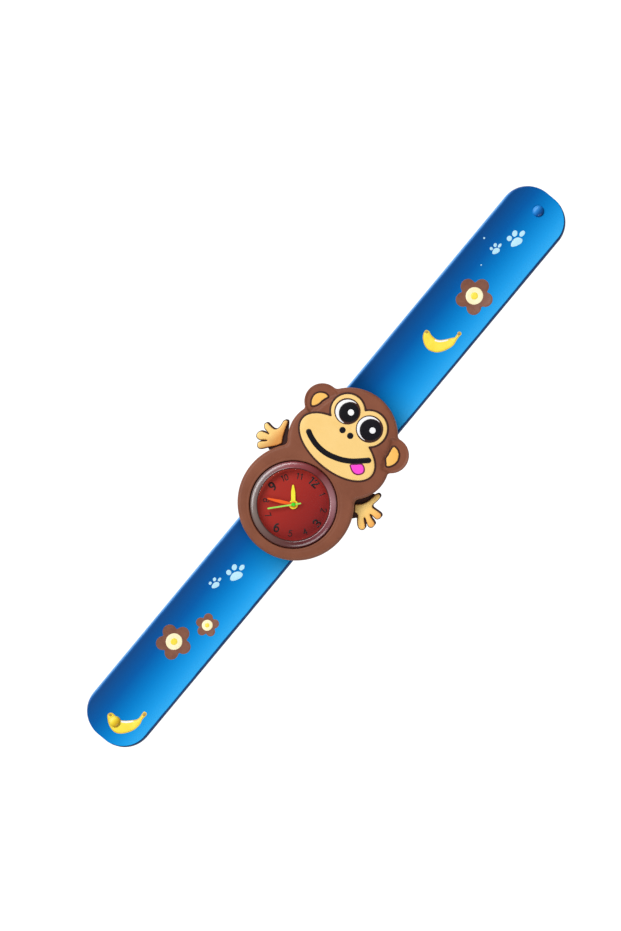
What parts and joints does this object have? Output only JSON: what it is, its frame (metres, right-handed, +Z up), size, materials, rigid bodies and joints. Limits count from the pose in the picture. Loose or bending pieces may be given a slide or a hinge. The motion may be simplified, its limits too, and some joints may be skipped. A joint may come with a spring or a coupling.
{
  "type": "toy slap watch",
  "caption": "Toy wrist watch: a soft monkey figure holds a round quartz watch with three hands, on a blue snap band that lies straight and curls around a wrist.",
  "frame": {"origin": "centre of the bounding box's underside, on the strap keeper's flat underside", "axes": "+Y along the straight band toward the figure's head, +X to the viewer's right, +Z up through the dial"},
  "size_m": [0.0484, 0.225, 0.0145],
  "materials": {
    "figure_body": "brown soft PVC, satin",
    "face_panel": "tan soft PVC, satin",
    "ear_insets": "tan soft PVC, satin",
    "eye_whites": "white soft PVC, gloss",
    "pupils": "black soft PVC, gloss",
    "pupil_glints": "white soft PVC, gloss",
    "nostrils": "black soft PVC, gloss",
    "mouth_line": "black soft PVC, gloss",
    "tongue": "magenta soft PVC, gloss",
    "hand_pads": "tan soft PVC, satin",
    "strap_keeper": "brown soft PVC, satin",
    "case_cup": "dull red plastic",
    "crystal": "clear acrylic",
    "case_back": "steel",
    "movement_holder": "white plastic",
    "dial_plate": "printed dark red",
    "main_plate": "black plastic",
    "train_bridge": "brushed",
    "bridge_screws": "steel",
    "stator": "soft iron",
    "coil_core": "soft iron",
    "coil_winding": "copper wire",
    "circuit_board": "green board",
    "quartz_can": "steel",
    "battery": "steel",
    "battery_clip": "spring brass",
    "spring_strip": "spring steel",
    "band_middle": "blue silicone, satin",
    "rotor": "magnet",
    "fifth_wheel": "ivory plastic",
    "seconds_wheel": "brass",
    "second_hand": "painted green",
    "third_wheel": "ivory plastic",
    "centre_wheel": "brass",
    "minute_hand": "painted orange",
    "minute_wheel": "ivory plastic",
    "hour_wheel": "brass",
    "hour_hand": "painted yellow",
    "setting_lever": "steel",
    "setting_stem": "steel",
    "crown_knob": "plated",
    "upper_link_1": "blue silicone, satin",
    "upper_link_2": "blue silicone, satin",
    "upper_link_3": "blue silicone, satin",
    "upper_link_4": "blue silicone, satin",
    "upper_link_5": "blue silicone, satin",
    "upper_link_6": "blue silicone, satin",
    "upper_link_7": "blue silicone, satin",
    "upper_link_8": "blue silicone, satin",
    "lower_link_1": "blue silicone, satin",
    "lower_link_2": "blue silicone, satin",
    "lower_link_3": "blue silicone, satin",
    "lower_link_4": "blue silicone, satin",
    "lower_link_5": "blue silicone, satin",
    "lower_link_6": "blue silicone, satin",
    "lower_link_7": "blue silicone, satin",
    "lower_link_8": "blue silicone, satin"
  },
  "bodies": {
    "head": {"figure_body": "figure_body", "face_panel": "face_panel", "ear_insets": "ear_insets", "eye_whites": "eye_whites", "pupils": "pupils", "pupil_glints": "pupil_glints", "nostrils": "nostrils", "mouth_line": "mouth_line", "tongue": "tongue", "hand_pads": "hand_pads", "strap_keeper": "strap_keeper", "case_cup": "case_cup", "crystal": "crystal", "case_back": "case_back", "movement_holder": "movement_holder", "dial_plate": "dial_plate", "main_plate": "main_plate", "train_bridge": "train_bridge", "bridge_screws": "bridge_screws", "stator": "stator", "coil_core": "coil_core", "coil_winding": "coil_winding", "circuit_board": "circuit_board", "quartz_can": "quartz_can", "battery": "battery", "battery_clip": "battery_clip", "spring_strip": "spring_strip", "band_middle": "band_middle"},
    "rotor_arbor": {"rotor": "rotor"},
    "fifth_arbor": {"fifth_wheel": "fifth_wheel"},
    "seconds_arbor": {"seconds_wheel": "seconds_wheel", "second_hand": "second_hand"},
    "third_arbor": {"third_wheel": "third_wheel"},
    "minutes_arbor": {"centre_wheel": "centre_wheel", "minute_hand": "minute_hand"},
    "motion_arbor": {"minute_wheel": "minute_wheel"},
    "hours_arbor": {"hour_wheel": "hour_wheel", "hour_hand": "hour_hand"},
    "crown_pull": {"setting_lever": "setting_lever"},
    "crown_turn": {"setting_stem": "setting_stem", "crown_knob": "crown_knob"},
    "upper_1": {"upper_link_1": "upper_link_1"},
    "upper_2": {"upper_link_2": "upper_link_2"},
    "upper_3": {"upper_link_3": "upper_link_3"},
    "upper_4": {"upper_link_4": "upper_link_4"},
    "upper_5": {"upper_link_5": "upper_link_5"},
    "upper_6": {"upper_link_6": "upper_link_6"},
    "upper_7": {"upper_link_7": "upper_link_7"},
    "upper_8": {"upper_link_8": "upper_link_8"},
    "lower_1": {"lower_link_1": "lower_link_1"},
    "lower_2": {"lower_link_2": "lower_link_2"},
    "lower_3": {"lower_link_3": "lower_link_3"},
    "lower_4": {"lower_link_4": "lower_link_4"},
    "lower_5": {"lower_link_5": "lower_link_5"},
    "lower_6": {"lower_link_6": "lower_link_6"},
    "lower_7": {"lower_link_7": "lower_link_7"},
    "lower_8": {"lower_link_8": "lower_link_8"}
  },
  "joints": [
    {"name": "second_hand_turn", "type": "hinge", "parent": "head", "child": "seconds_arbor", "pos_m": [0, -0.016, 0.0072], "axis": [0, 0, -1], "continuous": true},
    {"name": "minute_hand_turn", "type": "hinge", "parent": "head", "child": "minutes_arbor", "pos_m": [0, -0.016, 0.011], "axis": [0, 0, -1], "continuous": true},
    {"name": "hour_hand_turn", "type": "hinge", "parent": "head", "child": "hours_arbor", "pos_m": [0, -0.016, 0.0115], "axis": [0, 0, -1], "continuous": true},
    {"name": "third_wheel_turn", "type": "hinge", "parent": "head", "child": "third_arbor", "pos_m": [-0.00216, -0.01384, 0.0085], "axis": [0, 0, -1], "continuous": true},
    {"name": "fifth_wheel_turn", "type": "hinge", "parent": "head", "child": "fifth_arbor", "pos_m": [-0.00103, -0.01882, 0.0082], "axis": [0, 0, -1], "continuous": true},
    {"name": "rotor_turn", "type": "hinge", "parent": "head", "child": "rotor_arbor", "pos_m": [-0.00378, -0.01931, 0.0088], "axis": [0, 0, -1], "continuous": true},
    {"name": "motion_wheel_turn", "type": "hinge", "parent": "head", "child": "motion_arbor", "pos_m": [0.00226, -0.01518, 0.0106], "axis": [0, 0, -1], "continuous": true},
    {"name": "crown_pull_out", "type": "slide", "parent": "head", "child": "crown_pull", "axis": [1, 0, 0], "range_m": [0, 0.0009]},
    {"name": "crown_turning", "type": "hinge", "parent": "crown_pull", "child": "crown_turn", "pos_m": [0.0143, -0.016, 0.0086], "axis": [1, 0, 0], "continuous": true},
    {"name": "upper_curl", "type": "hinge", "parent": "head", "child": "upper_1", "pos_m": [0, 0.013, 0.0013], "axis": [-1, 0, 0], "range_deg": [0, 16], "deforming": ["spring_strip"]},
    {"name": "upper_bend_2", "type": "hinge", "parent": "upper_1", "child": "upper_2", "pos_m": [0, 0.02544, 0.0013], "axis": [-1, 0, 0], "range_deg": [0, 28]},
    {"name": "upper_bend_3", "type": "hinge", "parent": "upper_2", "child": "upper_3", "pos_m": [0, 0.03787, 0.0013], "axis": [-1, 0, 0], "range_deg": [0, 28]},
    {"name": "upper_bend_4", "type": "hinge", "parent": "upper_3", "child": "upper_4", "pos_m": [0, 0.05031, 0.0013], "axis": [-1, 0, 0], "range_deg": [0, 28]},
    {"name": "upper_bend_5", "type": "hinge", "parent": "upper_4", "child": "upper_5", "pos_m": [0, 0.06275, 0.0013], "axis": [-1, 0, 0], "range_deg": [0, 28]},
    {"name": "upper_bend_6", "type": "hinge", "parent": "upper_5", "child": "upper_6", "pos_m": [0, 0.07519, 0.0013], "axis": [-1, 0, 0], "range_deg": [0, 28]},
    {"name": "upper_bend_7", "type": "hinge", "parent": "upper_6", "child": "upper_7", "pos_m": [0, 0.08762, 0.0013], "axis": [-1, 0, 0], "range_deg": [0, 28]},
    {"name": "upper_bend_8", "type": "hinge", "parent": "upper_7", "child": "upper_8", "pos_m": [0, 0.10006, 0.0013], "axis": [-1, 0, 0], "range_deg": [0, 28]},
    {"name": "lower_curl", "type": "hinge", "parent": "head", "child": "lower_1", "pos_m": [0, -0.019, 0.0013], "axis": [1, 0, 0], "range_deg": [0, 19.5], "deforming": ["spring_strip"]},
    {"name": "lower_bend_2", "type": "hinge", "parent": "lower_1", "child": "lower_2", "pos_m": [0, -0.03069, 0.0013], "axis": [1, 0, 0], "range_deg": [0, 34]},
    {"name": "lower_bend_3", "type": "hinge", "parent": "lower_2", "child": "lower_3", "pos_m": [0, -0.04238, 0.0013], "axis": [1, 0, 0], "range_deg": [0, 34]},
    {"name": "lower_bend_4", "type": "hinge", "parent": "lower_3", "child": "lower_4", "pos_m": [0, -0.05406, 0.0013], "axis": [1, 0, 0], "range_deg": [0, 34]},
    {"name": "lower_bend_5", "type": "hinge", "parent": "lower_4", "child": "lower_5", "pos_m": [0, -0.06575, 0.0013], "axis": [1, 0, 0], "range_deg": [0, 34]},
    {"name": "lower_bend_6", "type": "hinge", "parent": "lower_5", "child": "lower_6", "pos_m": [0, -0.07744, 0.0013], "axis": [1, 0, 0], "range_deg": [0, 34]},
    {"name": "lower_bend_7", "type": "hinge", "parent": "lower_6", "child": "lower_7", "pos_m": [0, -0.08912, 0.0013], "axis": [1, 0, 0], "range_deg": [0, 34]},
    {"name": "lower_bend_8", "type": "hinge", "parent": "lower_7", "child": "lower_8", "pos_m": [0, -0.10081, 0.0013], "axis": [1, 0, 0], "range_deg": [0, 34]}
  ],
  "couplings": [
    {"joint": "minute_hand_turn", "follows": "second_hand_turn", "ratio": 0.016667},
    {"joint": "hour_hand_turn", "follows": "second_hand_turn", "ratio": 0.0013889},
    {"joint": "third_wheel_turn", "follows": "second_hand_turn", "ratio": -0.13333},
    {"joint": "fifth_wheel_turn", "follows": "second_hand_turn", "ratio": -5},
    {"joint": "rotor_turn", "follows": "second_hand_turn", "ratio": 30},
    {"joint": "motion_wheel_turn", "follows": "second_hand_turn", "ratio": -0.0055556},
    {"joint": "upper_bend_2", "follows": "upper_curl", "ratio": 1.737},
    {"joint": "upper_bend_3", "follows": "upper_curl", "ratio": 1.737},
    {"joint": "upper_bend_4", "follows": "upper_curl", "ratio": 1.737},
    {"joint": "upper_bend_5", "follows": "upper_curl", "ratio": 1.737},
    {"joint": "upper_bend_6", "follows": "upper_curl", "ratio": 1.737},
    {"joint": "upper_bend_7", "follows": "upper_curl", "ratio": 1.737},
    {"joint": "upper_bend_8", "follows": "upper_curl", "ratio": 1.737},
    {"joint": "lower_bend_2", "follows": "lower_curl", "ratio": 1.737},
    {"joint": "lower_bend_3", "follows": "lower_curl", "ratio": 1.737},
    {"joint": "lower_bend_4", "follows": "lower_curl", "ratio": 1.737},
    {"joint": "lower_bend_5", "follows": "lower_curl", "ratio": 1.737},
    {"joint": "lower_bend_6", "follows": "lower_curl", "ratio": 1.737},
    {"joint": "lower_bend_7", "follows": "lower_curl", "ratio": 1.737},
    {"joint": "lower_bend_8", "follows": "lower_curl", "ratio": 1.737}
  ]
}
